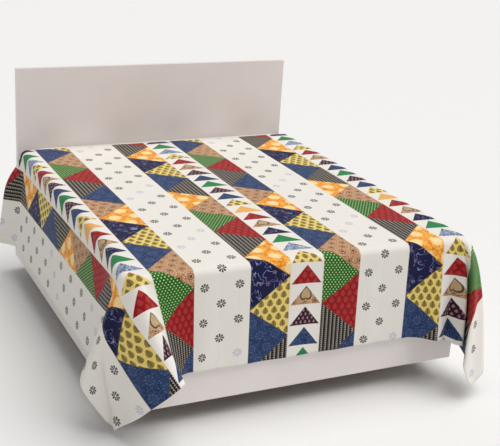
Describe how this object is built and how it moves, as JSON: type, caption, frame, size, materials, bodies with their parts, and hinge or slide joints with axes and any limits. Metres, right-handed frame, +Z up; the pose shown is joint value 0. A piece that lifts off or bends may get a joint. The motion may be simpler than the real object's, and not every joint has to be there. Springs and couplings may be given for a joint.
{
  "type": "bed sheet draped over a double bed",
  "caption": "Patchwork-print cotton bed sheet spread over a plain double bed, hanging at both sides and the foot, with soft corner folds and hanging tails.",
  "frame": {"origin": "on the floor, under the middle of the whole, hanging folds included", "axes": "+Z up, +Y from the foot to the headboard, +X to the right seen from the foot"},
  "size_m": [1.8674, 2.1382, 1.13],
  "materials": {
    "cotton_print": "matt printed plain-weave cotton, off-white ground with patchwork stripes",
    "ticking": "matt woven mattress cover",
    "pale_board": "satin pale pinkish-grey painted board",
    "timber": "matt bare timber"
  },
  "bodies": {
    "root": {"sheet": "cotton_print", "mattress": "ticking", "deck": "timber", "base_front": "pale_board", "base_back": "pale_board", "base_left": "pale_board", "base_right": "pale_board", "middle_beam": "timber", "post_front_left": "timber", "post_front_right": "timber", "post_back_left": "timber", "post_back_right": "timber", "headboard": "pale_board"}
  },
  "joints": []
}
